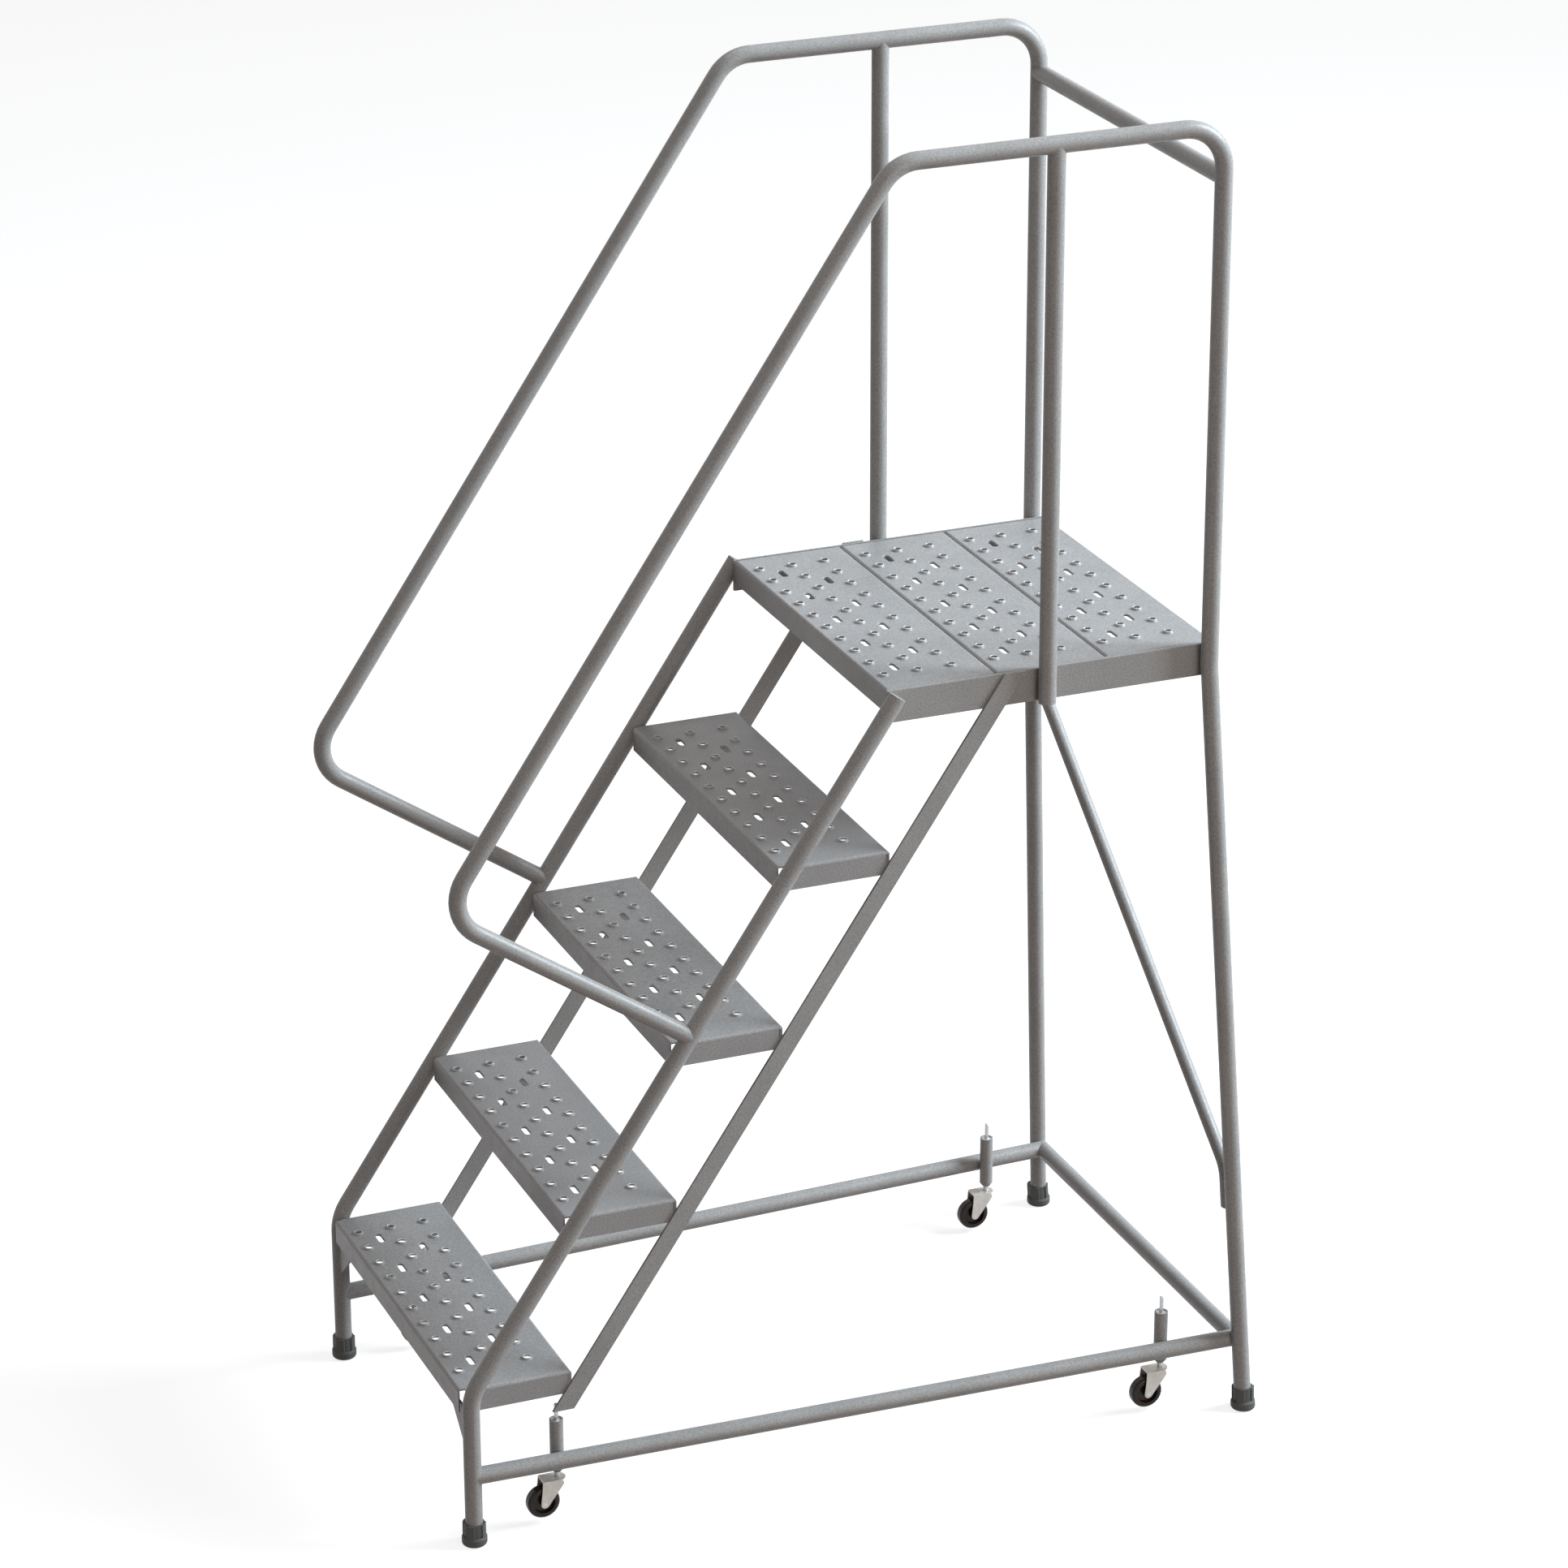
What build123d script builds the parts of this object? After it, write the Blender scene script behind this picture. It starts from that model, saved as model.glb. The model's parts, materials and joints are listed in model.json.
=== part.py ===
from build123d import *
import os
from math import atan2, degrees, hypot

# Mobile ladder stand: five levels, tubular steel frame, perforated treads, four sprung casters.
# Millimetres. X is the width, +Y runs from the bottom step to the back, +Z is up.
# The origin lies on the floor, midway between the four feet.

# ---------- driving dimensions ----------
# steps
first_step = 253.0           # height of the first tread
step_rise = 253.7            # height from one tread to the next
step_run = 171.4             # depth from one tread's nose to the next
tread_count = 4              # treads below the platform
tread_depth = 176.8
tread_flange = 37.2          # depth of the folded edges of treads and planks
nose_overhang = 12.5         # first nose in front of the front legs' axis
sheet = 2.0                  # thickness of tread and plank sheet
fold_radius = 5.0            # outside radius of the folded edges
corner_relief = 6.0          # width of the notch at a tread's front corners
corner_back = 10.0           # its depth
rear_relief = 4.0            # cut-back of the side flange at a tread's rear corners

# frame tubes
tube_od = 26.7
tube_wall = 1.7
rail_spacing = 635.0         # between the two side frames, axis to axis
leg_base = 1254.8            # front feet to rear feet, axis to axis
rear_foot_spacing = 768.0    # between the rear feet, axis to axis
knee_height = 249.5          # where a front leg turns into its stringer
stringer_end = 1262.3        # height of the stringer's upper end, on its axis
rail_offset = 457.2          # handrail above the stringer, square to the slope
low_leg_height = 775.1       # where the handrail's lower leg meets the stringer
top_rail_height = 2066.1     # axis of the top rail
rear_post_back = 63.9        # rear posts in front of the rear feet
splay_drop = 31.6            # splay of the rear legs starts this far below the platform
mid_post_back = 924.9        # mid posts behind the front legs
top_cross_drop = 76.8        # rear cross rail below the top rail
base_height = 113.8          # axis of the base tubes
base_inset = 17.8            # base side tubes inside the rear legs' axis
rail_bend = 64.0             # bend radii, on the tubes' axes
knee_bend = 80.0
splay_bend = 180.0
brace_bend = 45.0
brace_od = 20.9
brace_low = 337.4            # lower end of the rear brace
brace_high = 1056.0          # its upper end, beside the other leg
brace_overlap = 68.0         # stretch of each brace end that lies along its leg
cap = 3.0                    # thickness of a closed tube end
weld_gap = 0.05              # left between pieces that are welded together

# platform
platform_front = 673.5       # front edge behind the front legs' axis
skirt_height = 50.6
skirt_sheet = 4.8
plank_count = 3
plank_gap = 1.0

# grip pattern in every tread and plank
button_pitch = 54.0
button_columns = 10
button_rows = 3
button_front = 20.0          # first row of buttons behind the front edge
button_od = 17.0
button_hole = 11.5
button_height = 3.0
button_taper = 30.0          # slope of a button's side, in degrees
button_flare = 18.4          # width of its hollow at the sheet's lower face
flare_slope = 45.0           # slope of the hollow's side, in degrees
slot_length = 31.0
slot_width = 11.0

# flat bars behind the treads
bar_width = 27.8             # square to the slope
bar_thick = 4.8
bar_front = 3.9              # front edge's line, behind the front legs at floor level
bar_low = 190.1
bar_above = 0.5              # top end above the platform

# gusset ears under the first tread
ear_width = 77.7
ear_height = 69.6
ear_lap = 8.6                # upper edge above the tread's lower edge
ear_sheet = 3.0

# rubber feet
foot_od = 38.8
foot_cup_od = 35.4
foot_height = 36.8
foot_band = 12.5             # height of the wide base band
foot_shoulder = 2.5          # height of the slope above the band
foot_floor = 6.0             # rubber under the tube
foot_rib = 13.5              # width of the four upright ribs
foot_recess = 2.0            # depth between the ribs
foot_edge = 5.0
foot_turn = -40.0            # ribs, in degrees about the leg

# casters
front_caster_back = 140.5    # behind the front legs' axis
rear_caster_back = 1132.8
rear_caster_drop = 3.2       # rear casters are set lower by this
sleeve_od = 21.3
sleeve_bore = 17.3
sleeve_low = 83.8
sleeve_high = 172.4
sleeve_floor = 4.0           # shoulder at the sleeve's lower end
sleeve_chamfer = 4.5
sleeve_taper = 6.0
stem_d = 8.4                 # lower part of the stem
rod_d = 6.3                  # upper part of the stem
stem_top = 198.3
drop_travel = 19.0           # how far a caster drops until its collar stops
collar_d = 15.0
collar_high = 4.0
guide_thick = 2.0
guide_below = 1.5            # guide washer below the sleeve's rim
spring_wire = 1.5
spring_mean_d = 11.5
spring_turns = 7
fork_top = 74.6
fork_sheet = 1.8
fork_width = 26.0
fork_nose = 26.8             # fork's front edge ahead of the swivel axis
fork_heel = 6.0              # radius of the fork's rear upper corner
fork_tip = 6.5               # radius of the fork's tip
caster_trail = 24.3
axle_height = 36.8
axle_d = 6.0
rivet_d = 6.4                # swivel rivet through the fork
rivet_head_d = 11.0
rivet_head = 1.6
wheel_d = 50.8
wheel_width = 18.0
wheel_edge = 5.0             # rounding of the tyre's edges
wheel_web = 8.0
wheel_rim_d = 34.0
wheel_hub_d = 14.0

# clearances
run_gap = 0.3                # between faces that move past each other
fit_gap = 0.05               # radial, between a shaft and its hole

# ---------- derived places ----------
tube_r = tube_od / 2
half = rail_spacing / 2
front_y = -leg_base / 2
rear_y = leg_base / 2
slope = step_run / step_rise
slant = hypot(1, slope)
platform_height = first_step + tread_count * step_rise
plank_pitch = tread_depth + plank_gap
brace_r = brace_od / 2
flange_x = half - tube_r - weld_gap          # outer face of tread flanges and skirts
mid_post_y = front_y + mid_post_back
rear_post_y = rear_y - rear_post_back
splay_height = platform_height - splay_drop
platform_y = front_y + platform_front
skirt_low = platform_height - skirt_height


def stringer_y(z):
    """Y of a stringer's axis at height z."""
    return front_y + (z - knee_height) * slope


def handrail_y(z):
    """Y of the sloping handrail's axis at height z."""
    return stringer_y(z) - rail_offset * slant


def leg_point(side, z):
    """Point on a rear leg's axis at height z, below the splay."""
    share = 1 - z / splay_height
    x = half + (rear_foot_spacing / 2 - half) * share
    return Vector(side * x, rear_post_y + rear_post_back * share, z)


def run_of(points, radii):
    """Wire of straight runs joined by tangent arcs."""
    if len(points) == 2:
        return Wire([Edge.make_line(*points)])
    with BuildLine() as line:
        FilletPolyline(*points, radius=radii)
    return line.wire()


def tube(points, radii=(), radius=tube_r, bore=tube_r - tube_wall):
    """Round tube along a run, or a solid rod when the bore is 0."""
    path = run_of(points, radii)
    with BuildPart() as body:
        with BuildSketch(Plane(origin=path @ 0, z_dir=path % 0)):
            Circle(radius)
            if bore:
                Circle(bore, mode=Mode.SUBTRACT)
        sweep(path=path)
    return body.part


def finish(piece, name):
    """Labels a piece and writes it to its own file."""
    piece.label = name
    export_step(piece, f"parts/{name}.step")


os.makedirs("parts", exist_ok=True)
sides = {"left": -1, "right": 1}

# ---------- frame runs ----------
foot_rest = foot_floor + weld_gap
low_y = stringer_y(low_leg_height)
corner_y = low_y - rail_offset / slant
corner_z = low_leg_height + rail_offset * slope / slant


def rail_run(side):
    """Side rail: lower leg, slope, top rail, rear post and splayed rear leg."""
    x = side * half
    return [
        (x, low_y, low_leg_height),
        (x, corner_y, corner_z),
        (x, handrail_y(top_rail_height), top_rail_height),
        (x, rear_post_y, top_rail_height),
        (x, rear_post_y, splay_height),
        leg_point(side, foot_rest),
    ]


def stringer_run(side, end=0.0):
    """Front leg and stringer, with its upper end cut square to its axis."""
    x = side * half
    z = stringer_end - end / slant
    return [(x, front_y, foot_rest), (x, front_y, knee_height), (x, stringer_y(z), z)]


rail_radii = (rail_bend, rail_bend, rail_bend, splay_bend)
cope_r = tube_r + weld_gap
rail_cope = {s: tube(rail_run(s), rail_radii, radius=cope_r, bore=0) for s in sides.values()}
stringer_cope = {s: tube(stringer_run(s), (knee_bend,), cope_r, 0) for s in sides.values()}

# ---------- side rails, stringers and mid posts ----------
for name, side in sides.items():
    with BuildPart() as side_rail:
        add(tube(rail_run(side), rail_radii))
        add(stringer_cope[side], mode=Mode.SUBTRACT)
    finish(side_rail.part, f"{name}_side_rail")

    hollow = tube(stringer_run(side, cap), (knee_bend,), radius=tube_r - tube_wall, bore=0)
    with BuildPart() as stringer:
        add(tube(stringer_run(side), (knee_bend,), bore=0))
        add(hollow, mode=Mode.SUBTRACT)
    finish(stringer.part, f"{name}_stringer")

    with BuildPart() as mid_post:
        with BuildSketch(Plane((side * half, mid_post_y, skirt_low))):
            Circle(tube_r)
            Circle(tube_r - tube_wall, mode=Mode.SUBTRACT)
        extrude(amount=top_rail_height - skirt_low)
        add(rail_cope[side], mode=Mode.SUBTRACT)
    finish(mid_post.part, f"{name}_mid_post")

# ---------- cross tubes ----------
base_leg = {s: leg_point(s, base_height) for s in sides.values()}
top_cross_z = top_rail_height - top_cross_drop
with BuildPart() as top_cross_rail:
    add(tube([(-half, rear_post_y, top_cross_z), (half, rear_post_y, top_cross_z)]))
    for side in sides.values():
        add(rail_cope[side], mode=Mode.SUBTRACT)
finish(top_cross_rail.part, "top_cross_rail")

with BuildPart() as rear_base_rail:
    add(tube([base_leg[-1], base_leg[1]]))
    for side in sides.values():
        add(rail_cope[side], mode=Mode.SUBTRACT)
finish(rear_base_rail.part, "rear_base_rail")
rear_base_cope = tube([base_leg[-1], base_leg[1]], radius=cope_r, bore=0)


def base_run(side):
    """Base side tube: from the front leg to the rear cross tube, just inside the rear leg."""
    rear = Vector(side * (abs(base_leg[side].X) - base_inset), base_leg[side].Y, base_height)
    return [Vector(side * half, front_y, base_height), rear]


def base_x(y):
    """Distance of the base side tubes' axes from the middle plane at depth y."""
    front, rear = base_run(1)
    return front.X + (rear.X - front.X) * (y - front.Y) / (rear.Y - front.Y)


# ---------- caster places ----------
base_front, base_rear = base_run(1)
base_slant = hypot(1, (base_rear.X - base_front.X) / (base_rear.Y - base_front.Y))
sleeve_step = (tube_r + sleeve_od / 2 + weld_gap) * base_slant
casters = {}
for end, back, drop in (
    ("front", front_caster_back, 0.0),
    ("rear", rear_caster_back, rear_caster_drop),
):
    for name, side in sides.items():
        y = front_y + back
        casters[f"{end}_{name}"] = Vector(side * (base_x(y) - sleeve_step), y, -drop)

for name, side in sides.items():
    with BuildPart() as base_rail:
        add(tube(base_run(side)))
        for cope in (stringer_cope[side], rail_cope[side], rear_base_cope):
            add(cope, mode=Mode.SUBTRACT)
    finish(base_rail.part, f"{name}_base_rail")

# ---------- rear brace ----------
brace_in = tube_r + brace_r + weld_gap


def beside_leg(side, z):
    """Point on the brace's axis where it lies along a rear leg, in the plane of both legs."""
    foot, hip = leg_point(side, 0), leg_point(side, splay_height)
    along = (hip - foot).normalized()
    across = Vector(-side, 0, 0)
    inward = (across - along * across.dot(along)).normalized()
    return leg_point(side, z) + inward * brace_in


brace_points = [
    beside_leg(1, brace_low),
    beside_leg(1, brace_low + brace_overlap),
    beside_leg(-1, brace_high - brace_overlap),
    beside_leg(-1, brace_high),
]
brace_radii = (brace_bend, brace_bend)
brace_path = run_of(brace_points, brace_radii)
brace_hollow_points = [
    brace_path @ (cap / brace_path.length),
    *brace_points[1:3],
    brace_path @ (1 - cap / brace_path.length),
]
brace_hollow = tube(brace_hollow_points, brace_radii, radius=brace_r - tube_wall, bore=0)
with BuildPart() as rear_brace:
    add(tube(brace_points, brace_radii, radius=brace_r, bore=0))
    fillet(rear_brace.faces().filter_by(GeomType.PLANE).edges(), cap)
    add(brace_hollow, mode=Mode.SUBTRACT)
finish(rear_brace.part, "rear_brace")

# ---------- treads and platform ----------


def folded_pan(low_x, high_x, low_y, high_y, top_z, depth, wall):
    """Sheet folded down on all four sides, open underneath."""
    middle = ((low_x + high_x) / 2, (low_y + high_y) / 2)
    width, length = high_x - low_x, high_y - low_y
    with BuildPart() as pan:
        with BuildSketch(Plane((*middle, top_z - depth))):
            Rectangle(width, length)
        extrude(amount=depth)
        fillet(pan.faces().sort_by(Axis.Z)[-1].edges(), fold_radius)
        with BuildSketch(Plane((*middle, top_z - depth))):
            Rectangle(width - 2 * wall, length - 2 * wall)
        extrude(amount=depth - wall, mode=Mode.SUBTRACT)
    return pan.part


def grip_pattern(front, top_z):
    """Raised buttons to add and holes to cut, for a sheet whose front edge is at depth front."""
    rows_y = front + button_front + button_pitch * (button_rows - 1) / 2
    with BuildPart() as buttons:
        with BuildSketch(Plane((0, rows_y, top_z))):
            with GridLocations(button_pitch, button_pitch, button_columns, button_rows):
                Circle(button_od / 2)
        extrude(amount=button_height, taper=button_taper)
    with BuildPart() as holes:
        with BuildSketch(Plane((0, rows_y, top_z - sheet - 1))):
            with GridLocations(button_pitch, button_pitch, button_columns, button_rows):
                Circle(button_hole / 2)
            for row in range(button_rows - 1):
                row_y = (row - (button_rows - 2) / 2) * button_pitch
                count = button_columns // 2 - row % 2
                with Locations((0, row_y)):
                    with GridLocations(2 * button_pitch, 1, count, 1):
                        SlotOverall(slot_length, slot_width)
        extrude(amount=sheet + button_height + 2)
        with BuildSketch(Plane((0, rows_y, top_z - sheet))):
            with GridLocations(button_pitch, button_pitch, button_columns, button_rows):
                Circle(button_flare / 2)
        extrude(amount=(button_flare - button_hole) / 2, taper=flare_slope)
    return buttons.part, holes.part


for step in range(1, tread_count + 1):
    nose_y = front_y - nose_overhang + step_run * (step - 1)
    top_z = first_step + step_rise * (step - 1)
    buttons, holes = grip_pattern(nose_y, top_z)
    pan = folded_pan(
        -flange_x, flange_x, nose_y, nose_y + tread_depth, top_z, tread_flange, sheet
    )
    with BuildPart() as tread:
        add(pan)
        add(buttons)
        add(holes, mode=Mode.SUBTRACT)
        relief_z = top_z - tread_flange
        with BuildSketch(Plane((0, 0, relief_z))):
            for side in sides.values():
                with Locations((side * flange_x, nose_y)):
                    Rectangle(2 * corner_relief, 2 * corner_back)
        extrude(amount=tread_flange, mode=Mode.SUBTRACT)
        with BuildSketch(Plane((0, 0, relief_z))):
            for side in sides.values():
                back = nose_y + tread_depth - sheet - rear_relief / 2
                with Locations((side * flange_x, back)):
                    Rectangle(3 * sheet, rear_relief)
        extrude(amount=tread_flange - fold_radius, mode=Mode.SUBTRACT)
    finish(tread.part, f"tread_{step}")

skirt_length = plank_count * plank_pitch
plank_x = flange_x - skirt_sheet - weld_gap
for plank, name in enumerate(("front", "middle", "rear")):
    plank_y = platform_y + plank * plank_pitch + plank_gap / 2
    buttons, holes = grip_pattern(plank_y, platform_height)
    pan = folded_pan(
        -plank_x, plank_x, plank_y, plank_y + tread_depth, platform_height, tread_flange, sheet
    )
    with BuildPart() as platform_plank:
        add(pan)
        add(buttons)
        add(holes, mode=Mode.SUBTRACT)
    finish(platform_plank.part, f"platform_plank_{name}")

for name, side in sides.items():
    skirt_x = side * (flange_x - skirt_sheet / 2)
    with BuildPart() as skirt:
        with BuildSketch(Plane((skirt_x, platform_y + skirt_length / 2, skirt_low))):
            Rectangle(skirt_sheet, skirt_length)
        extrude(amount=skirt_height)
        outer_top = skirt.edges().filter_by(Axis.Y).group_by(Axis.Z)[-1].sort_by(Axis.X)
        fillet(outer_top[-1 if side > 0 else 0], skirt_sheet / 3)
    finish(skirt.part, f"{name}_platform_skirt")

# ---------- flat bars and gusset ears ----------


def bar_y(z):
    """Y of the flat bars' front edge at height z."""
    return front_y + bar_front + z * slope


bar_high = platform_height + bar_above
bar_depth = bar_width * slant
ear_top = first_step - tread_flange + ear_lap
ear_y = front_y - nose_overhang + corner_back - weld_gap
for name, side in sides.items():
    bar_x = side * (flange_x + weld_gap)
    with BuildPart() as tread_bar:
        with BuildSketch(Plane((bar_x, 0, 0), x_dir=(0, 1, 0), z_dir=(side, 0, 0))):
            with BuildLine():
                Polyline(
                    (bar_y(bar_low), side * bar_low),
                    (bar_y(bar_low) + bar_depth, side * bar_low),
                    (bar_y(bar_high) + bar_depth, side * bar_high),
                    (bar_y(bar_high), side * bar_high),
                    close=True,
                )
            make_face()
        extrude(amount=bar_thick)
    finish(tread_bar.part, f"{name}_tread_bar")

    with BuildPart() as gusset:
        with BuildSketch(Plane((0, ear_y, 0), x_dir=(1, 0, 0), z_dir=(0, -1, 0))):
            with BuildLine():
                Polyline(
                    (side * (flange_x - ear_width), ear_top),
                    (side * flange_x, ear_top - ear_height),
                    (side * half, ear_top - ear_height),
                    (side * half, ear_top),
                    close=True,
                )
            make_face()
        extrude(amount=ear_sheet)
        add(stringer_cope[side], mode=Mode.SUBTRACT)
    finish(gusset.part, f"{name}_gusset")

# ---------- rubber feet ----------
feet = {}
for name, side in sides.items():
    feet[f"front_{name}"] = (Vector(side * half, front_y, 0), Vector(0, 0, 1))
    foot = leg_point(side, 0)
    feet[f"rear_{name}"] = (foot, (leg_point(side, splay_height) - foot).normalized())

shoulder_slope = degrees(atan2((foot_od - foot_cup_od) / 2, foot_shoulder))
for name, (ground, up) in feet.items():
    axis_plane = Plane(origin=ground, x_dir=Vector(0, 1, 0).cross(up), z_dir=up)
    cup_plane = axis_plane.rotated((0, 0, foot_turn))
    with BuildPart() as foot:
        with BuildSketch(axis_plane.offset(-foot_edge)):
            Circle(foot_od / 2)
        extrude(amount=foot_band + foot_edge)
        split(bisect_by=Plane.XY, keep=Keep.TOP)
        fillet(foot.edges().group_by(Axis.Z)[0], foot_edge)
        with BuildSketch(axis_plane.offset(foot_band)):
            Circle(foot_od / 2)
        extrude(amount=foot_shoulder, taper=shoulder_slope)
        with BuildSketch(cup_plane.offset(foot_band)):
            Rectangle(foot_cup_od, foot_rib)
            Rectangle(foot_rib, foot_cup_od)
            Circle(foot_cup_od / 2, mode=Mode.INTERSECT)
            Circle(foot_cup_od / 2 - foot_recess)
        extrude(amount=foot_height - foot_band)
        with BuildSketch(axis_plane.offset(foot_rest)):
            Circle(cope_r)
        extrude(amount=foot_height, mode=Mode.SUBTRACT)
    finish(foot.part, f"{name}_foot")

# ---------- casters ----------
stem_r = stem_d / 2
rod_r = rod_d / 2
sleeve_bottom_r = sleeve_od / 2 - sleeve_chamfer
collar_low = sleeve_low + sleeve_floor + drop_travel
collar_top = collar_low + collar_high
guide_top = sleeve_high - guide_below
guide_low = guide_top - guide_thick
spring_low = collar_top + run_gap + spring_wire / 2
spring_high = guide_low - run_gap - spring_wire / 2
fork_under = fork_top - fork_sheet
fork_inner = fork_width - 2 * fork_sheet


def turned(centre, outline):
    """Solid of revolution about the upright axis through centre, from (radius, height) points."""
    with BuildPart() as body:
        with BuildSketch(Plane(centre, x_dir=(1, 0, 0), z_dir=(0, -1, 0))):
            with BuildLine():
                Polyline(*outline, close=True)
            make_face()
        revolve(axis=Axis(centre, (0, 0, 1)))
    return body.part


for name, centre in casters.items():
    bore_r = sleeve_bore / 2
    sleeve = turned(
        centre,
        [
            (stem_r + fit_gap, sleeve_low),
            (sleeve_bottom_r, sleeve_low),
            (sleeve_od / 2, sleeve_low + sleeve_taper),
            (sleeve_od / 2, sleeve_high),
            (bore_r, sleeve_high),
            (bore_r, sleeve_low + sleeve_floor),
            (stem_r + fit_gap, sleeve_low + sleeve_floor),
        ],
    )
    finish(sleeve, f"{name}_caster_sleeve")

    guide_r = bore_r - weld_gap
    rod_hole = rod_r + fit_gap
    guide = turned(
        centre,
        [(rod_hole, guide_low), (guide_r, guide_low), (guide_r, guide_top), (rod_hole, guide_top)],
    )
    finish(guide, f"{name}_caster_guide")

    with BuildPart() as spring:
        pitch = (spring_high - spring_low) / spring_turns
        coil_foot = centre + Vector(0, 0, spring_low)
        coil = Helix(pitch, spring_high - spring_low, spring_mean_d / 2, coil_foot)
        with BuildSketch(Plane(coil @ 0, z_dir=coil % 0)):
            Circle(spring_wire / 2)
        sweep(path=coil, is_frenet=True)
    finish(spring.part, f"{name}_caster_spring")

    rivet_low = fork_under - run_gap - rivet_head
    stem = turned(
        centre,
        [
            (0, rivet_low),
            (rivet_head_d / 2, rivet_low),
            (rivet_head_d / 2, fork_under - run_gap),
            (rivet_d / 2, fork_under - run_gap),
            (rivet_d / 2, fork_top + run_gap),
            (stem_r, fork_top + run_gap),
            (stem_r, collar_low),
            (collar_d / 2, collar_low),
            (collar_d / 2, collar_top),
            (rod_r, collar_top),
            (rod_r, stem_top - 1),
            (rod_r - 1, stem_top),
            (0, stem_top),
        ],
    )
    finish(stem, f"{name}_caster_stem")

    axle = centre + Vector(0, -caster_trail, axle_height)
    level = Plane(centre)
    side_plane = Plane(centre, x_dir=(0, 1, 0), z_dir=(1, 0, 0))
    with BuildPart() as fork:
        with BuildSketch(side_plane.offset(-fork_width / 2)):
            with Locations((-caster_trail, axle_height)):
                Circle(fork_tip)
            with Locations((0, fork_top - fork_heel)):
                Circle(fork_heel)
            with Locations((-fork_nose, fork_top)):
                Rectangle(fork_heel, fork_heel, align=(Align.MIN, Align.MAX))
            make_hull()
        extrude(amount=fork_width)
        with BuildSketch(level):
            Rectangle(fork_inner, 4 * fork_nose)
        extrude(amount=fork_under, mode=Mode.SUBTRACT)
        with BuildSketch(level.offset(fork_under)):
            Circle((fork_width - fork_sheet) / 2)
        extrude(amount=fork_sheet)
        with BuildSketch(level.offset(fork_under)):
            Circle(rivet_d / 2 + fit_gap)
        extrude(amount=fork_sheet, mode=Mode.SUBTRACT)
        with BuildSketch(side_plane.offset(-fork_width / 2)):
            with Locations((-caster_trail, axle_height)):
                Circle(axle_d / 2 + weld_gap)
        extrude(amount=fork_width, mode=Mode.SUBTRACT)
    finish(fork.part, f"{name}_caster_fork")

    with BuildPart() as pin:
        with BuildSketch(Plane(axle, z_dir=(1, 0, 0))):
            Circle(axle_d / 2)
        extrude(amount=fork_width / 2, both=True)
    finish(pin.part, f"{name}_caster_axle")

    with BuildPart() as wheel:
        hub = fork_inner / 2 - run_gap
        half_width, half_web = wheel_width / 2, wheel_web / 2
        with BuildSketch(Plane(axle, x_dir=(1, 0, 0), z_dir=(0, -1, 0))):
            with BuildLine():
                Polyline(
                    (-hub, axle_d / 2 + fit_gap),
                    (hub, axle_d / 2 + fit_gap),
                    (hub, wheel_hub_d / 2),
                    (half_web, wheel_hub_d / 2),
                    (half_web, wheel_rim_d / 2),
                    (half_width, wheel_rim_d / 2),
                    (half_width, wheel_d / 2),
                    (-half_width, wheel_d / 2),
                    (-half_width, wheel_rim_d / 2),
                    (-half_web, wheel_rim_d / 2),
                    (-half_web, wheel_hub_d / 2),
                    (-hub, wheel_hub_d / 2),
                    close=True,
                )
            make_face()
        revolve(axis=Axis(axle, (1, 0, 0)))
        tread_edges = wheel.edges().filter_by(GeomType.CIRCLE).sort_by(lambda e: e.radius)
        fillet(tread_edges[-2:], wheel_edge)
    finish(wheel.part, f"{name}_caster_wheel")
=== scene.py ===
"""Mobile ladder stand: finishes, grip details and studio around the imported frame."""

import json
import math

import bmesh
import bpy
from mathutils import Matrix, Vector


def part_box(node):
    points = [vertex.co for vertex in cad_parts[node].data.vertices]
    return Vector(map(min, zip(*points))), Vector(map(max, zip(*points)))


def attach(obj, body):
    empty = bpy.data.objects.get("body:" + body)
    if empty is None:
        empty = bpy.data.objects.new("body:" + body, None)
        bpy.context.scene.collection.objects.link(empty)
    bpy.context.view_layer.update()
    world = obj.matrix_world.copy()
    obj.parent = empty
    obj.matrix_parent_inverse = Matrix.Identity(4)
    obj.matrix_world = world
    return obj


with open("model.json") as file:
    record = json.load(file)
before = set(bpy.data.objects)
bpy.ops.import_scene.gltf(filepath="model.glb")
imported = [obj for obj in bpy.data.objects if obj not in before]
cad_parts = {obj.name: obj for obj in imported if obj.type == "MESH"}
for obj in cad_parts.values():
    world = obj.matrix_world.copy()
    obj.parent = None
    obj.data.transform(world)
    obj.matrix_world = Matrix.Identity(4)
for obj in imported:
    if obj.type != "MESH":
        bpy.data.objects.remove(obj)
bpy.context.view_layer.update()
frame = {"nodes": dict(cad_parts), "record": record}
nodes = frame["nodes"]
slot_of = {row["node"]: row["material_slot"] for row in frame["record"]["subparts"]}
casters = ["front_left", "front_right", "rear_left", "rear_right"]


# ---------- finishes ----------
def grey(level):
    return (level, level, level, 1)


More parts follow.
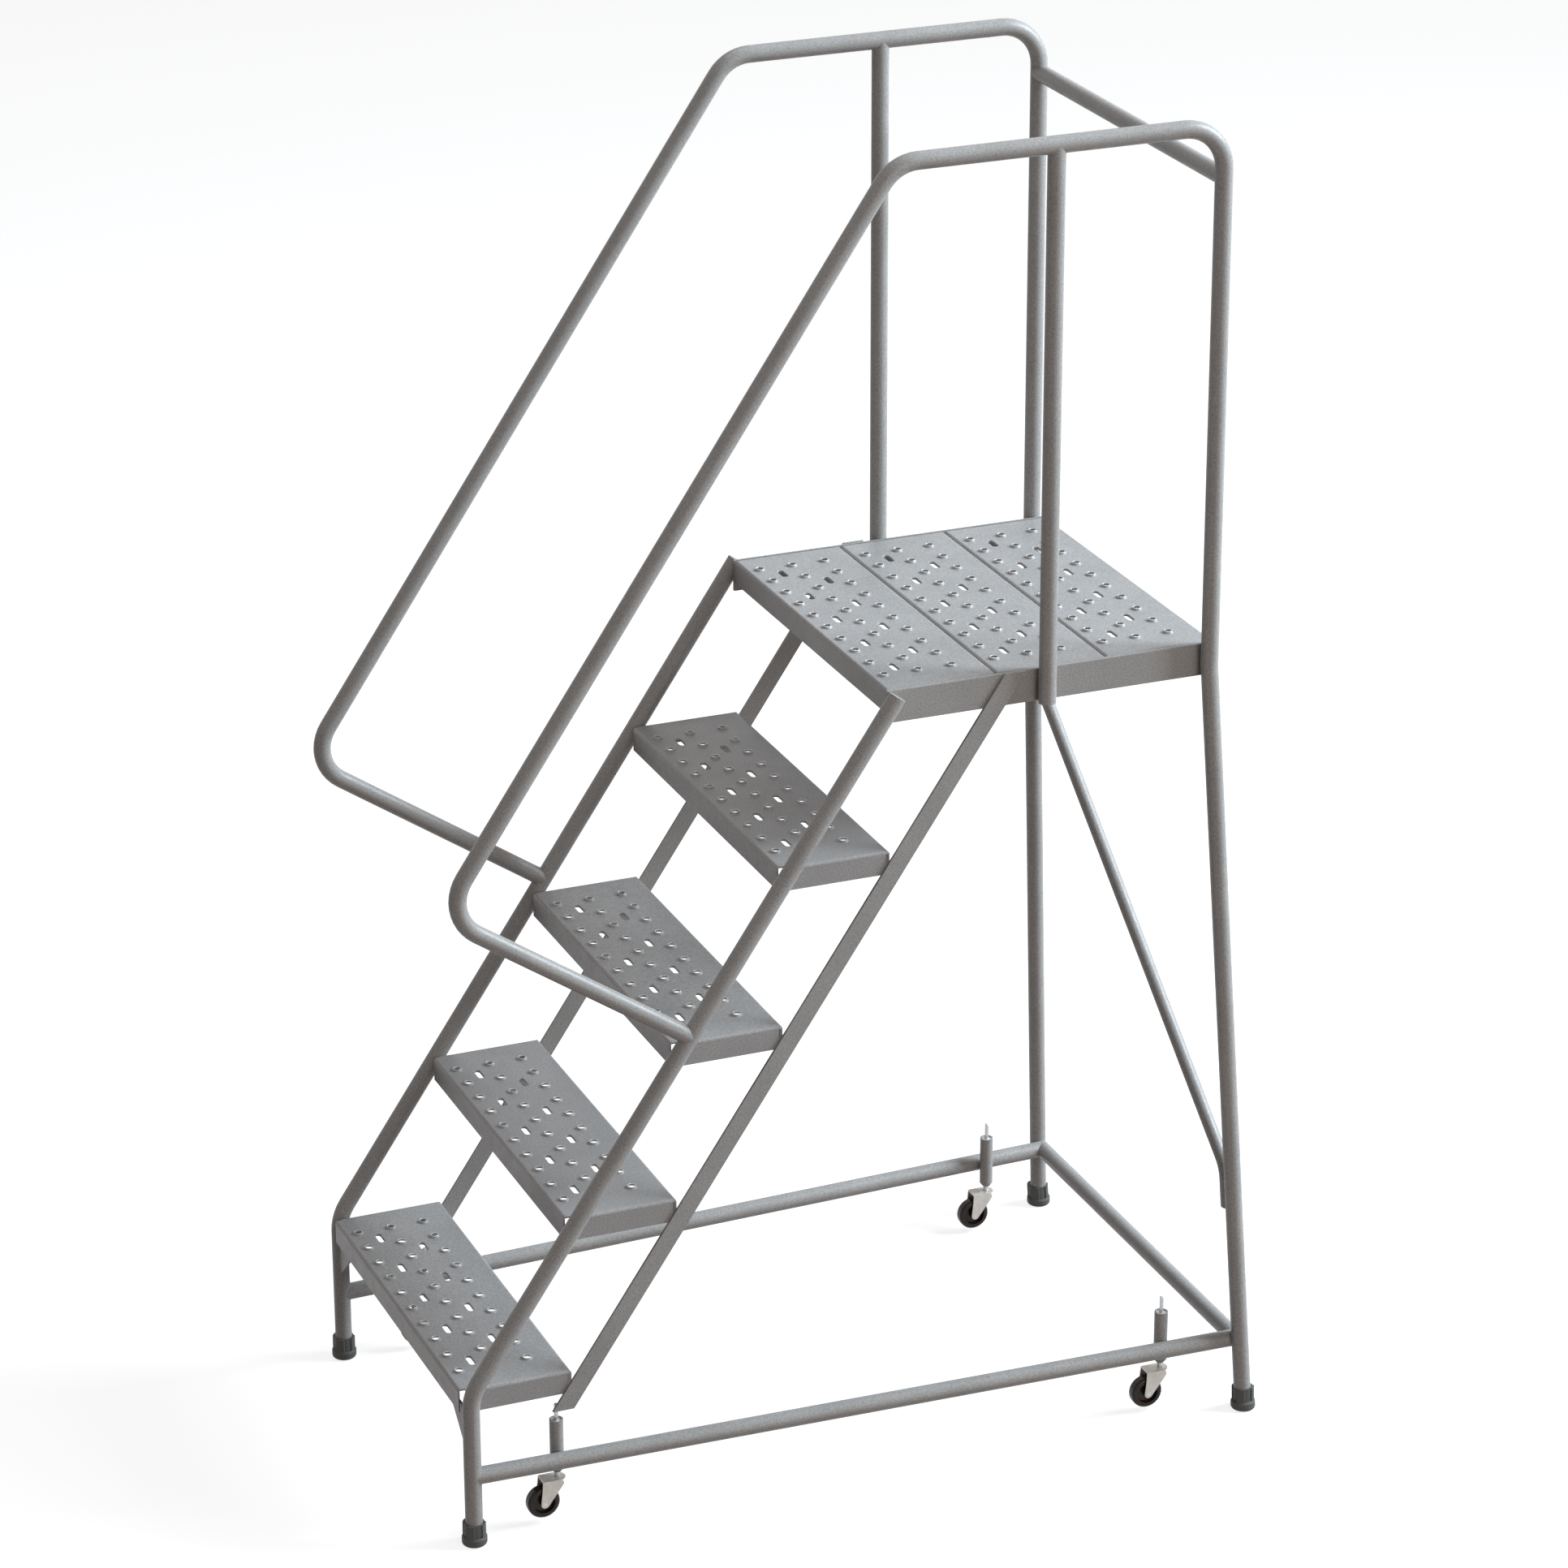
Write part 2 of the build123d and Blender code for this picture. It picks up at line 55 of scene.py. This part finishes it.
class Finish:
    """A material being put together: its node tree and its shader."""

    def __init__(self, name, **sockets):
        self.material = bpy.data.materials.new(name)
        self.material.use_nodes = True
        self.tree = self.material.node_tree
        self.tree.nodes.clear()
        self.shader = self.add("ShaderNodeBsdfPrincipled")
        for socket, value in sockets.items():
            self.shader.inputs[socket.replace("_", " ")].default_value = value
        out = self.add("ShaderNodeOutputMaterial")
        self.link(self.shader.outputs[0], out.inputs["Surface"])
        self.place = self.add("ShaderNodeTexCoord").outputs["Object"]

    def add(self, kind, **settings):
        node = self.tree.nodes.new(kind)
        for key, value in settings.items():
            setattr(node, key, value)
        return node

    def link(self, a, b):
        self.tree.links.new(a, b)

    def noise(self, size, detail=3.0, stretch=(1, 1, 1)):
        """Noise value whose lumps are about size metres across."""
        mapping = self.add("ShaderNodeMapping")
        mapping.inputs["Scale"].default_value = stretch
        self.link(self.place, mapping.inputs["Vector"])
        noise = self.add("ShaderNodeTexNoise")
        noise.inputs["Scale"].default_value = 1 / size
        noise.inputs["Detail"].default_value = detail
        self.link(mapping.outputs[0], noise.inputs["Vector"])
        return noise.outputs["Fac"]

    def spread(self, value, low, high, to_low, to_high):
        """Stretches the part of value between low and high over to_low to to_high."""
        node = self.add("ShaderNodeMapRange")
        for socket, number in (
            ("From Min", low), ("From Max", high), ("To Min", to_low), ("To Max", to_high)
        ):
            node.inputs[socket].default_value = number
        self.link(value, node.inputs["Value"])
        return node.outputs["Result"]

    def mix(self, share, a, b, how="MIX"):
        node = self.add("ShaderNodeMix", data_type="RGBA", blend_type=how)
        for socket, value in (("Factor", share), ("A", a), ("B", b)):
            target = [s for s in node.inputs if s.name == socket and s.enabled][0]
            if isinstance(value, bpy.types.NodeSocket):
                self.link(value, target)
            else:
                target.default_value = value
        return [s for s in node.outputs if s.enabled][0]

    def patches(self, noise, a, b, low=0.35, high=0.7):
        """Soft patches of colour b in colour a."""
        return self.mix(self.spread(noise, low, high, 0.0, 1.0), a, b)

    def grain(self, base, noise, low, high, darkest, lightest):
        """Darkens and lightens base along a fine noise."""
        ramp = self.add("ShaderNodeValToRGB")
        start, end = ramp.color_ramp.elements
        start.position, end.position = low, high
        start.color, end.color = grey(darkest), grey(lightest)
        self.link(noise, ramp.inputs["Fac"])
        return self.mix(1.0, base, ramp.outputs["Color"], "MULTIPLY")

    def edges(self, radius):
        """1 on edges, which the finishes paint lighter as an edge highlight, 0 on flat faces."""
        flat_within, highlight_beyond = 0.985, 0.80
        bevel = self.add("ShaderNodeBevel", samples=4)
        bevel.inputs["Radius"].default_value = radius
        flat = self.add("ShaderNodeNewGeometry")
        dot = self.add("ShaderNodeVectorMath", operation="DOT_PRODUCT")
        self.link(bevel.outputs["Normal"], dot.inputs[0])
        self.link(flat.outputs["Normal"], dot.inputs[1])
        return self.spread(dot.outputs["Value"], flat_within, highlight_beyond, 0.0, 1.0)

    def colour(self, socket):
        self.link(socket, self.shader.inputs["Base Color"])

    def roughness(self, socket):
        self.link(socket, self.shader.inputs["Roughness"])

    def bump(self, height, distance, strength):
        node = self.add("ShaderNodeBump")
        node.inputs["Strength"].default_value = strength
        node.inputs["Distance"].default_value = distance
        self.link(height, node.inputs["Height"])
        self.link(node.outputs["Normal"], self.shader.inputs["Normal"])


def powder_coat(name, light, dark, edge_highlight_colour):
    """Satin powder coat: speckle, faint clouds, orange-peel skin, edges painted a little lighter in
    patches as an edge highlight.
    """
    speckle_size, cloud_size, highlight_patch_size, sheen_size, peel_size = 0.0026, 0.09, 0.012, 0.02, 0.0022
    edge_highlight_width = 0.0012
    paint = Finish(name, Roughness=0.42, Specular_IOR_Level=0.38)
    base = paint.patches(paint.noise(cloud_size, detail=4.0), dark, light, high=0.65)
    speckled = paint.grain(base, paint.noise(speckle_size), 0.32, 0.68, 0.80, 1.19)
    # Painted edge highlight: the edges take the lighter colour in patches along a noise.
    patchy = paint.add("ShaderNodeMath", operation="MULTIPLY")
    paint.link(paint.edges(edge_highlight_width), patchy.inputs[0])
    paint.link(paint.spread(paint.noise(highlight_patch_size), 0.40, 0.62, 0.15, 0.55), patchy.inputs[1])
    paint.colour(paint.mix(patchy.outputs[0], speckled, edge_highlight_colour))
    paint.roughness(paint.spread(paint.noise(sheen_size), 0.3, 0.7, 0.37, 0.48))
    paint.bump(paint.noise(peel_size, detail=1.0), 0.00012, 0.35)
    return paint.material


def zinc_plate(name, light, dark, roughness, drawn_along, metal):
    """Bright plated steel with a drawn grain, faint stains and edges painted lighter as an edge
    highlight.
    """
    grain_size, stain_size, edge_highlight_width = 0.0012, 0.011, 0.0005
    zinc_edge_highlight = (0.80, 0.78, 0.75, 1)
    plate = Finish(name, Metallic=metal, Roughness=roughness)
    drawn = plate.noise(grain_size, detail=4.0, stretch=drawn_along)
    stains = plate.noise(stain_size, detail=5.0)
    brushed = plate.grain(plate.patches(stains, light, dark), drawn, 0.25, 0.75, 0.90, 1.07)
    # Painted edge highlight: a lighter colour on the edges.
    plate.colour(plate.mix(plate.edges(edge_highlight_width), brushed, zinc_edge_highlight))
    plate.roughness(plate.spread(stains, 0.3, 0.7, roughness - 0.06, roughness + 0.1))
    plate.bump(drawn, 0.00004, 0.4)
    return plate.material


def turned_steel(name, light, dark, roughness):
    """Turned and plated rod with fine rings round it."""
    ring_size, stain_size = 0.0007, 0.006
    steel = Finish(name, Metallic=0.6, Roughness=roughness)
    rings = steel.noise(ring_size, detail=2.0, stretch=(0.15, 0.15, 1))
    stains = steel.noise(stain_size, detail=4.0)
    steel.colour(steel.grain(steel.patches(stains, light, dark), rings, 0.2, 0.8, 0.9, 1.06))
    steel.roughness(steel.spread(stains, 0.3, 0.7, roughness - 0.05, roughness + 0.08))
    steel.bump(rings, 0.00004, 0.5)
    return steel.material


def moulded_rubber(name, light, dark):
    """Matt moulded rubber with a fine pebbled skin, its edges painted lighter as an edge highlight.
    """
    pebble_size, dust_size, edge_highlight_width = 0.0011, 0.008, 0.0008
    rubber_edge_highlight = (0.20, 0.205, 0.20, 1)
    rubber = Finish(name, Roughness=0.6, Specular_IOR_Level=0.4)
    dust = rubber.noise(dust_size, detail=5.0)
    # Painted edge highlight: a lighter grey on the edges.
    rubber.colour(rubber.mix(rubber.edges(edge_highlight_width), rubber.patches(dust, dark, light), rubber_edge_highlight))
    rubber.roughness(rubber.spread(dust, 0.3, 0.7, 0.52, 0.68))
    rubber.bump(rubber.noise(pebble_size, detail=2.0), 0.00010, 0.45)
    return rubber.material


def glossy_wheel(name, light, dark):
    """Hard glossy black moulding with a trace of brown and fine scuffs."""
    mottle_size, scuff_size = 0.006, 0.0015
    scuffed = (0.05, 0.036, 0.027, 1)
    wheel = Finish(name, Roughness=0.2, Specular_IOR_Level=0.25)
    base = wheel.patches(wheel.noise(mottle_size, detail=4.0), dark, light)
    scuffs = wheel.noise(scuff_size, stretch=(3, 1, 1))
    wheel.colour(wheel.mix(wheel.spread(scuffs, 0.62, 0.80, 0.0, 0.35), base, scuffed))
    wheel.roughness(wheel.spread(scuffs, 0.35, 0.75, 0.16, 0.42))
    wheel.bump(scuffs, 0.00005, 0.4)
    return wheel.material


# Light metal colour for the button lips: a painted highlight on their rims.
highlight_lip_metal = zinc_plate(
    "highlight_lip_metal", light=(0.74, 0.745, 0.73, 1), dark=(0.56, 0.565, 0.55, 1),
    roughness=0.26, drawn_along=(1, 1, 1), metal=0.25,
)
tread_paint = powder_coat(
    "tread_paint", light=(0.345, 0.340, 0.336, 1), dark=(0.315, 0.310, 0.306, 1),
    edge_highlight_colour=(0.47, 0.47, 0.45, 1),
)
stem_steel = turned_steel(
    "stem_steel", light=(0.66, 0.66, 0.66, 1), dark=(0.52, 0.52, 0.53, 1), roughness=0.34
)
wheel_black = glossy_wheel(
    "wheel_black", light=(0.026, 0.012, 0.006, 1), dark=(0.010, 0.005, 0.003, 1)
)
finishes = {
    "frame_paint": powder_coat(
        "frame_paint", light=(0.345, 0.338, 0.328, 1), dark=(0.315, 0.308, 0.298, 1),
        edge_highlight_colour=(0.46, 0.455, 0.44, 1),
    ),
    "tread_paint": tread_paint,
    "foot_rubber": moulded_rubber(
        "foot_rubber", light=(0.085, 0.086, 0.080, 1), dark=(0.060, 0.061, 0.057, 1)
    ),
    "fork_zinc": zinc_plate(
        "fork_zinc", light=(0.62, 0.585, 0.535, 1), dark=(0.53, 0.50, 0.46, 1),
        roughness=0.36, drawn_along=(1, 1, 0.12), metal=0.45,
    ),
    "stem_steel": stem_steel,
    "spring_steel": turned_steel(
        "spring_steel", light=(0.42, 0.42, 0.43, 1), dark=(0.30, 0.30, 0.31, 1), roughness=0.36
    ),
    "wheel_black": wheel_black,
}
for node, piece in nodes.items():
    piece.data.materials.clear()
    piece.data.materials.append(finishes[slot_of[node]])


# ---------- making pieces ----------
def new_piece(name, mesh):
    piece = bpy.data.objects.new(name, mesh)
    bpy.context.scene.collection.objects.link(piece)
    return piece


def plain_mesh(name, work):
    """Turns the faces outwards and closes the bmesh into a mesh."""
    bmesh.ops.recalc_face_normals(work, faces=work.faces)
    mesh = bpy.data.meshes.new(name)
    work.to_mesh(mesh)
    work.free()
    return mesh


def joined_loops(work, loops):
    """Closes loops of vertices, the last to the first, into one ring of four-sided faces."""
    for a, b in zip(loops, loops[1:] + loops[:1]):
        for k in range(len(a)):
            after = (k + 1) % len(a)
            work.faces.new((a[k], a[after], b[after], b[k]))


def smooth(piece, angle):
    """Merges doubles, turns the faces outwards and shades across gentle edges."""
    work = bmesh.new()
    work.from_mesh(piece.data)
    bmesh.ops.remove_doubles(work, verts=work.verts, dist=1e-6)
    bmesh.ops.recalc_face_normals(work, faces=work.faces)
    work.to_mesh(piece.data)
    work.free()
    piece.data.shade_smooth()
    piece.data.set_sharp_from_angle(angle=math.radians(angle))


class Maker:
    """A Geometry Nodes tree with named inputs that repeats one small detail."""

    kinds = {
        float: "NodeSocketFloat",
        int: "NodeSocketInt",
        Vector: "NodeSocketVector",
        bpy.types.Material: "NodeSocketMaterial",
    }

    def __init__(self, name, **inputs):
        self.name = name
        self.tree = bpy.data.node_groups.new(name + "_tree", "GeometryNodeTree")
        face = self.tree.interface
        face.new_socket("Geometry", in_out="INPUT", socket_type="NodeSocketGeometry")
        face.new_socket("Geometry", in_out="OUTPUT", socket_type="NodeSocketGeometry")
        self.values = {}
        for label, value in inputs.items():
            socket = face.new_socket(label, in_out="INPUT", socket_type=self.kinds[type(value)])
            self.values[socket.identifier] = value
        self.inputs = self.tree.nodes.new("NodeGroupInput")
        self.output = self.tree.nodes.new("NodeGroupOutput")

    def read(self, label):
        return self.inputs.outputs[label]

    def add(self, kind, links=(), **settings):
        node = self.tree.nodes.new(kind)
        for key, value in settings.items():
            setattr(node, key, value)
        for socket, source in dict(links).items():
            target = node.inputs[socket]
            if isinstance(source, bpy.types.NodeSocket):
                self.tree.links.new(source, target)
            else:
                target.default_value = source
        return node

    def times(self, a, b):
        return self.add("ShaderNodeMath", {0: a, 1: b}, operation="MULTIPLY").outputs[0]

    def shifted(self, point, x=0.0, y=0.0):
        """The point moved by x and y."""
        step = self.add("ShaderNodeCombineXYZ", {"X": x, "Y": y})
        moved = self.add("ShaderNodeVectorMath", {0: point, 1: step.outputs[0]}, operation="ADD")
        return moved.outputs[0]

    def half_run(self, count):
        """Minus half the gaps between count points: from the middle of a row to its left end."""
        gaps = self.add("ShaderNodeMath", {0: count, 1: 1.0}, operation="SUBTRACT")
        return self.times(gaps.outputs[0], -0.5)

    def line(self, count, start, x=0.0, y=0.0):
        """Points in a row from start, each moved by x and y from the one before."""
        step = self.add("ShaderNodeCombineXYZ", {"X": x, "Y": y})
        row = self.add(
            "GeometryNodeMeshLine",
            {"Count": count, "Start Location": start, "Offset": step.outputs[0]},
            mode="OFFSET",
        )
        return row.outputs[0]

    def repeat(self, points, detail, rotation=(0.0, 0.0, 0.0)):
        placed = self.add(
            "GeometryNodeInstanceOnPoints",
            {"Points": points, "Instance": detail, "Rotation": rotation},
        )
        return placed.outputs[0]

    def realize(self, instances):
        return self.add("GeometryNodeRealizeInstances", {"Geometry": instances}).outputs[0]

    def make(self, instances, detail=None):
        """Realizes the instances, sets the finish and returns one plain mesh piece.

        The detail is the mesh that the tree repeats, where the tree doesn't make its own.
        """
        painted = self.add(
            "GeometryNodeSetMaterial",
            {"Geometry": self.realize(instances), "Material": self.read("finish")},
        )
        self.tree.links.new(painted.outputs[0], self.output.inputs[0])
        start = new_piece(
            self.name + "_start", detail or bpy.data.meshes.new(self.name + "_start")
        )
        modifier = start.modifiers.new(self.name, "NODES")
        modifier.node_group = self.tree
        for identifier, value in self.values.items():
            modifier[identifier] = value
        start.update_tag()
        graph = bpy.context.evaluated_depsgraph_get()
        mesh = bpy.data.meshes.new_from_object(start.evaluated_get(graph), depsgraph=graph)
        start.modifiers.remove(modifier)
        bpy.data.objects.remove(start)
        mesh.name = self.name
        return new_piece(self.name, mesh)


# ---------- grip details on treads and planks ----------
pitch = 0.054
button_columns, button_rows = 10, 3
button_front, button_height = 0.020, 0.003
hole_radius = 0.00575
lip_overlap, lip_sink, lip_thickness = 0.0004, 0.0002, 0.00055
slot_length, slot_width = 0.031, 0.011


def button_lips(name, node):
    """Rolled lips round the holes of every raised button, in a light metal colour that paints a
    highlight on them.
    """
    low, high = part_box(node)
    maker = Maker(
        name,
        start=Vector((0, low.y + button_front, high.z - lip_sink)),
        pitch=pitch,
        columns=button_columns,
        rows=button_rows,
        lip_radius=hole_radius + lip_overlap,
        lip_thickness=lip_thickness,
        finish=highlight_lip_metal,
    )
    gap, columns = maker.read("pitch"), maker.read("columns")
    corner = maker.shifted(maker.read("start"), x=maker.times(maker.half_run(columns), gap))
    row = maker.line(columns, corner, x=gap)
    column = maker.line(maker.read("rows"), (0, 0, 0), y=gap)
    path = maker.add(
        "GeometryNodeCurvePrimitiveCircle", {"Resolution": 28, "Radius": maker.read("lip_radius")}
    )
    section = maker.add(
        "GeometryNodeCurvePrimitiveCircle", {"Resolution": 8, "Radius": maker.read("lip_thickness")}
    )
    lip = maker.add(
        "GeometryNodeCurveToMesh",
        {"Curve": path.outputs[0], "Profile Curve": section.outputs[0]},
    )
    points = maker.realize(maker.repeat(column, row))
    made = maker.make(maker.repeat(points, lip.outputs[0]))
    smooth(made, 60)
    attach(made, "frame")


def slot_outline(length, width, per_end=9):
    """Points round a slot with half-round ends."""
    run = (length - width) / 2
    points = []
    for side, start in ((1, -90), (-1, 90)):
        for k in range(per_end):
            turn = math.radians(start + 180 * k / (per_end - 1))
            points.append((side * run + width / 2 * math.cos(turn), width / 2 * math.sin(turn)))
    return points


def slot_lip_mesh():
    """One pressed-down lip: a rolled upper edge that runs into a thin upright wall."""
    rolled_edge = (
        (-0.00025, 0.00006), (0.0003, -0.0001), (0.0007, -0.0005), (0.0009, -0.0012),
        (0.0010, -0.0020),
    )
    wall_foot = ((0.0010, -0.0036), (0.0002, -0.0036), (0.0001, -0.0020))
    work = bmesh.new()
    loops = []
    for inset, height in rolled_edge + wall_foot:
        outline = slot_outline(slot_length - 2 * inset, slot_width - 2 * inset)
        loops.append([work.verts.new((x, y, height)) for x, y in outline])
    joined_loops(work, loops)
    return plain_mesh("slot_lip", work)


def slot_lips(name, node):
    """Pressed lips in the two rows of drain slots between the buttons."""
    low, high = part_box(node)
    middle_row = low.y + button_front + pitch * (button_rows - 1) / 2
    maker = Maker(
        name,
        middle=Vector((0, middle_row, high.z - button_height)),
        pitch=pitch,
        front_slots=button_columns // 2,
        rear_slots=button_columns // 2 - 1,
        finish=tread_paint,
    )
    gap = maker.read("pitch")
    rows = maker.add("GeometryNodeJoinGeometry")
    for label, side in (("front_slots", -0.5), ("rear_slots", 0.5)):
        count = maker.read(label)
        slot_gap = maker.times(gap, 2.0)
        left, back = maker.times(maker.half_run(count), slot_gap), maker.times(gap, side)
        corner = maker.shifted(maker.read("middle"), x=left, y=back)
        row = maker.line(count, corner, x=slot_gap)
        maker.tree.links.new(row, rows.inputs[0])
    made = maker.make(maker.repeat(rows.outputs[0], maker.read("Geometry")), slot_lip_mesh())
    smooth(made, 50)
    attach(made, "frame")


# ---------- wheel details ----------
rib_count, rib_length, rib_height, rib_sink = 44, 0.0016, 0.00035, 0.00015
tyre_shoulder = 0.0045
hub_gap = 0.0003
washer_bore, washer_rim, washer_thickness, washer_edge = 0.0032, 0.0056, 0.0014, 0.0003


def rib_mesh(width):
    """One rib across a tyre, rounded on its outer edges."""
    work = bmesh.new()
    bmesh.ops.create_cube(work, size=1.0)
    for v in work.verts:
        v.co = Vector((v.co.x * rib_height * 2, v.co.y * rib_length, v.co.z * width))
    outer = [e for e in work.edges if all(v.co.x > 0 for v in e.verts)]
    bmesh.ops.bevel(work, geom=outer, offset=rib_length * 0.25, segments=2, affect="EDGES")
    return plain_mesh("tyre_rib", work)


def tyre_ribs(corner):
    """Fine cross ribs moulded round a wheel's running face."""
    low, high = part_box(f"{corner}_caster_wheel")
    maker = Maker(
        f"{corner}_tyre_ribs",
        centre=(low + high) / 2,
        radius=(high.z - low.z) / 2 - rib_sink,
        ribs=rib_count,
        finish=wheel_black,
    )
    circle = maker.add(
        "GeometryNodeMeshCircle", {"Vertices": maker.read("ribs"), "Radius": maker.read("radius")}
    )
    position = maker.add("GeometryNodeInputPosition")
    outward = maker.add(
        "FunctionNodeAlignEulerToVector", {"Vector": position.outputs[0]}, axis="X"
    )
    ribs = maker.repeat(circle.outputs[0], maker.read("Geometry"), outward.outputs[0])
    placed = maker.add(
        "GeometryNodeTransform",
        {"Geometry": ribs, "Translation": maker.read("centre"), "Rotation": (0, math.pi / 2, 0)},
    )
    made = maker.make(placed.outputs[0], rib_mesh(high.x - low.x - 2 * tyre_shoulder))
    smooth(made, 40)
    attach(made, f"{corner}_wheel")


def axle_washers(corner):
    """Bright washers between the hub and the fork's two side plates."""
    low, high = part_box(f"{corner}_caster_wheel")
    middle, inner_face = (low + high) / 2, (high.x - low.x) / 2 + hub_gap
    outline = (
        (washer_bore, 0),
        (washer_rim - washer_edge, 0),
        (washer_rim, washer_edge),
        (washer_rim, washer_thickness - washer_edge),
        (washer_rim - washer_edge, washer_thickness),
        (washer_bore, washer_thickness),
    )
    around = [2 * math.pi * k / 32 for k in range(32)]
    work = bmesh.new()
    for side in (1, -1):
        joined_loops(work, [
            [
                work.verts.new((
                    middle.x + side * (inner_face + out),
                    middle.y + radius * math.sin(angle),
                    middle.z + radius * math.cos(angle),
                ))
                for angle in around
            ]
            for radius, out in outline
        ])
    washers = new_piece(f"{corner}_axle_washers", plain_mesh(f"{corner}_axle_washers", work))
    smooth(washers, 40)
    washers.data.materials.append(stem_steel)
    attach(washers, f"{corner}_fork")


for corner in casters:
    tyre_ribs(corner)
    axle_washers(corner)

steps = [n for n in nodes if n.startswith("tread_") or n.startswith("platform_plank_")]
for step in sorted(steps):
    button_lips(step + "_button_lips", step)
    slot_lips(step + "_slot_lips", step)

# ---------- camera ----------
azimuth, elevation, roll = math.radians(67.828), math.radians(22.392), math.radians(-0.152)
aim, camera_distance = Vector((0.0124, 0.0019, 1.0176)), 8.1379
back = Vector((
    math.sin(azimuth) * math.cos(elevation),
    -math.cos(azimuth) * math.cos(elevation),
    math.sin(elevation),
))
across = (-back).cross(Vector((0, 0, 1))).normalized()
upward = across.cross(-back)
right = across * math.cos(roll) + upward * math.sin(roll)
up = -across * math.sin(roll) + upward * math.cos(roll)
camera = new_piece("camera", bpy.data.cameras.new("camera"))
turn = Matrix((right, up, back)).transposed().to_4x4()
camera.matrix_world = Matrix.Translation(aim + back * camera_distance) @ turn
camera.data.lens = 122.95
camera.data.sensor_width = 36.0
camera.data.clip_end = 100.0
bpy.context.scene.camera = camera


# ---------- studio ----------
def background_rays(tree):
    """1 for the rays that see the white background: camera, glossy and transmission rays."""
    paths = tree.nodes.new("ShaderNodeLightPath")
    seen = paths.outputs["Is Camera Ray"]
    for ray in ("Is Glossy Ray", "Is Transmission Ray"):
        either = tree.nodes.new("ShaderNodeMath")
        either.operation = "MAXIMUM"
        tree.links.new(seen, either.inputs[0])
        tree.links.new(paths.outputs[ray], either.inputs[1])
        seen = either.outputs[0]
    return seen


def shader_node(tree, kind, colour, strength=None):
    node = tree.nodes.new(kind)
    node.inputs["Color"].default_value = colour
    if strength is not None:
        node.inputs["Strength"].default_value = strength
    return node.outputs[0]


def background_or_light(tree, lighting, background, output):
    """Gives the background to the rays that see it and the lighting to all others."""
    pick = tree.nodes.new("ShaderNodeMixShader")
    tree.links.new(background_rays(tree), pick.inputs[0])
    tree.links.new(lighting, pick.inputs[1])
    tree.links.new(background, pick.inputs[2])
    tree.links.new(pick.outputs[0], tree.nodes.new(output).inputs[0])


def pale_floor():
    """Plain floor that glows pale where it is seen and still takes the stand's shadow."""
    reach, drop = 14.0, 0.0005
    work = bmesh.new()
    bmesh.ops.create_grid(work, x_segments=1, y_segments=1, size=reach)
    mesh = bpy.data.meshes.new("studio_floor")
    work.to_mesh(mesh)
    work.free()
    floor = new_piece("studio_floor", mesh)
    floor.location.z = -drop

    pale = bpy.data.materials.new("studio_floor")
    pale.use_nodes = True
    tree = pale.node_tree
    tree.nodes.clear()
    seen_floor = tree.nodes.new("ShaderNodeAddShader")
    shadowed = shader_node(tree, "ShaderNodeBsdfDiffuse", grey(0.40))
    glow = shader_node(tree, "ShaderNodeEmission", grey(1), 0.80)
    tree.links.new(shadowed, seen_floor.inputs[0])
    tree.links.new(glow, seen_floor.inputs[1])
    bounce = shader_node(tree, "ShaderNodeBsdfDiffuse", (0.17, 0.12, 0.10, 1))
    background_or_light(tree, bounce, seen_floor.outputs[0], "ShaderNodeOutputMaterial")
    floor.data.materials.append(pale)


def white_world():
    """White where it is seen, a low warm light elsewhere."""
    world = bpy.data.worlds.new("studio")
    bpy.context.scene.world = world
    world.use_nodes = True
    tree = world.node_tree
    tree.nodes.clear()
    warm = shader_node(tree, "ShaderNodeBackground", (1.0, 0.91, 0.88, 1), 0.19)
    white = shader_node(tree, "ShaderNodeBackground", grey(1), 1.0)
    background_or_light(tree, warm, white, "ShaderNodeOutputWorld")


def softbox(name, place, width, height, power, colour):
    """Area lamp aimed at the middle of the stand."""
    lamp = new_piece(name, bpy.data.lights.new(name, "AREA"))
    lamp.location = place
    aimed = Vector((0, 0, 1.0)) - Vector(place)
    lamp.rotation_euler = aimed.to_track_quat("-Z", "Y").to_euler()
    lamp.data.shape = "RECTANGLE"
    lamp.data.size, lamp.data.size_y = width, height
    lamp.data.energy = power
    lamp.data.color = colour


pale_floor()
white_world()
softbox("rear_softbox", (1.5, 5.9, 4.9), 3.0, 3.5, power=940, colour=(0.80, 0.91, 1.0))
softbox("side_softbox", (6.8, 1.0, 2.4), 3.0, 3.0, power=95, colour=(1.0, 0.93, 0.87))
softbox("top_softbox", (-0.8, -0.6, 6.5), 3.0, 3.0, power=60, colour=(0.95, 0.97, 1.0))
bpy.context.scene.view_settings.view_transform = "Standard"
